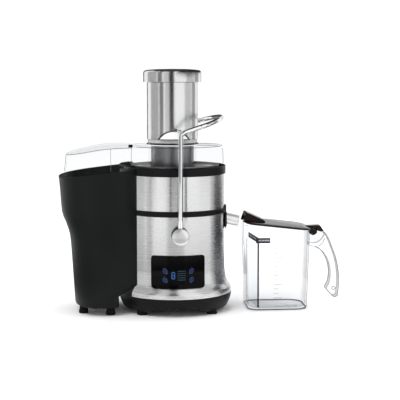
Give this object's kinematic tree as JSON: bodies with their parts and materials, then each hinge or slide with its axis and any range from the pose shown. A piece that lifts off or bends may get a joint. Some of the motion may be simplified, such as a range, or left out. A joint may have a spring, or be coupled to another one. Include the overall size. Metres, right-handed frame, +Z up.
{
  "type": "centrifugal juicer",
  "caption": "Upright centrifugal juicer with a steel motor base, spinning filter basket, clear lid with a wide feed chute, locking arm, side pulp bin and lidded juice jug.",
  "frame": {"origin": "middle of the whole set's footprint, on the table", "axes": "+X towards the jug, +Y towards the back, +Z up"},
  "size_m": [0.4796, 0.2252, 0.4075],
  "materials": {
    "black_plastic": "satin moulded black plastic",
    "bin_plastic": "fine matt charcoal plastic",
    "piano_black": "high gloss black",
    "clear_plastic": "clear moulded plastic",
    "smoked_plastic": "very dark smoked plastic",
    "rubber": "matt rubber",
    "steel": "brushed round the axis",
    "chrome": "polished rod",
    "satin_metal": "satin",
    "iron": "machined and laminated steel",
    "copper": "copper bars",
    "board": "green board",
    "blue_key": "lit blue key"
  },
  "bodies": {
    "body": {"base_pan": "black_plastic", "foot_front_left": "rubber", "foot_front_right": "rubber", "foot_rear_left": "rubber", "foot_rear_right": "rubber", "lower_shell": "steel", "top_deck": "black_plastic", "spout_bezel": "black_plastic", "pivot_boss_front": "black_plastic", "pivot_boss_rear": "black_plastic", "cord_gland": "rubber", "control_panel": "piano_black", "display_module": "piano_black", "control_board": "board", "motor_stator": "iron", "motor_bracket_lower": "iron", "motor_bracket_upper": "iron", "bearing_lower": "iron", "bearing_upper": "iron", "brush_holder_left": "black_plastic", "brush_holder_right": "black_plastic", "shaft_seal": "rubber", "bowl_shell": "steel", "juice_bowl": "black_plastic", "bowl_rim_ring": "black_plastic", "pulp_lip": "black_plastic", "juice_spout": "satin_metal", "lid": "clear_plastic", "chute_sleeve": "steel"},
    "drive": {"drive_shaft": "iron", "motor_rotor": "iron", "commutator": "copper", "cooling_fan": "black_plastic", "drive_coupling": "black_plastic", "filter_basket": "steel", "cutting_disc": "steel", "basket_nut": "black_plastic"},
    "pusher": {"pusher_tube": "steel", "pusher_cap": "steel", "pusher_core": "black_plastic"},
    "arm": {"locking_arm": "chrome", "arm_knob_front": "satin_metal", "arm_knob_rear": "satin_metal"},
    "button_upper_left": {"button_upper_left": "blue_key"},
    "button_upper_right": {"button_upper_right": "blue_key"},
    "button_lower_left": {"button_lower_left": "blue_key"},
    "button_lower_right": {"button_lower_right": "blue_key"},
    "bin": {"pulp_bin": "bin_plastic"},
    "jug": {"jug": "clear_plastic", "jug_handle": "clear_plastic", "froth_separator": "smoked_plastic"},
    "jug_lid": {"jug_lid": "smoked_plastic", "jug_hinge_pin": "smoked_plastic"}
  },
  "joints": [
    {"name": "drive_spin", "type": "hinge", "parent": "body", "child": "drive", "pos_m": [-0.044, 0, 0.1], "axis": [0, 0, 1], "continuous": true},
    {"name": "pusher_slide", "type": "slide", "parent": "body", "child": "pusher", "axis": [0, 0, 1], "range_m": [0, 0.19]},
    {"name": "arm_swing", "type": "hinge", "parent": "body", "child": "arm", "pos_m": [-0.0415, 0, 0.1365], "axis": [0, 1, 0], "range_deg": [0, 60]},
    {"name": "jug_slide", "type": "slide", "parent": "body", "child": "jug", "axis": [1, 0, 0], "range_m": [0, 0.12]},
    {"name": "jug_lid_hinge", "type": "hinge", "parent": "jug", "child": "jug_lid", "pos_m": [0.194, 0.004, 0.1295], "axis": [0, 1, 0], "range_deg": [0, 70]},
    {"name": "bin_tilt", "type": "hinge", "parent": "body", "child": "bin", "pos_m": [-0.24, 0, 0.2287], "axis": [0, 1, 0], "range_deg": [0, 8]},
    {"name": "button_upper_left_press", "type": "slide", "parent": "body", "child": "button_upper_left", "axis": [0.2487, 0.9686, 0], "range_m": [0, 0.0008], "stiffness_N_per_m": 400},
    {"name": "button_lower_left_press", "type": "slide", "parent": "body", "child": "button_lower_left", "axis": [0.2487, 0.9686, 0], "range_m": [0, 0.0008], "stiffness_N_per_m": 400},
    {"name": "button_upper_right_press", "type": "slide", "parent": "body", "child": "button_upper_right", "axis": [-0.2487, 0.9686, 0], "range_m": [0, 0.0008], "stiffness_N_per_m": 400},
    {"name": "button_lower_right_press", "type": "slide", "parent": "body", "child": "button_lower_right", "axis": [-0.2487, 0.9686, 0], "range_m": [0, 0.0008], "stiffness_N_per_m": 400}
  ]
}
